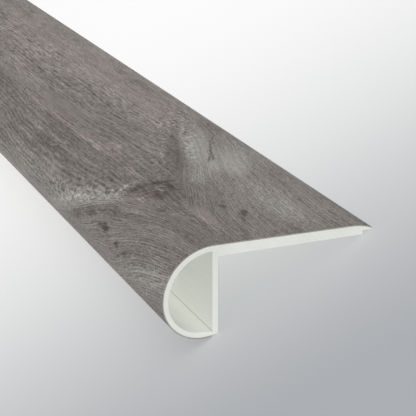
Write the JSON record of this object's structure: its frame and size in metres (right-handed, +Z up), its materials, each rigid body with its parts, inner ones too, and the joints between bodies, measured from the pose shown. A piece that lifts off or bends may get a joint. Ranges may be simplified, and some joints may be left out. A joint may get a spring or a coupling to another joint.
{
  "type": "flush stair nosing",
  "caption": "Length of hollow vinyl stair nosing with a rounded nose, a tread plate and a thin rear lip, wrapped in a grey oak print film.",
  "frame": {"origin": "middle of the footprint on the floor, under the middle of the length, as the nosing lies loose on its web foot and lip tip", "axes": "+X from the nose towards the rear lip, +Y along the length, +Z up; the top face slopes down towards the lip at about 27.5 degrees"},
  "size_m": [0.06, 2.388, 0.0238],
  "materials": {
    "white_vinyl": "matt, off-white",
    "oak_print_film": "satin, embossed grey oak print"
  },
  "bodies": {
    "root": {"core_profile": "white_vinyl", "decor_film": "oak_print_film"}
  },
  "joints": []
}
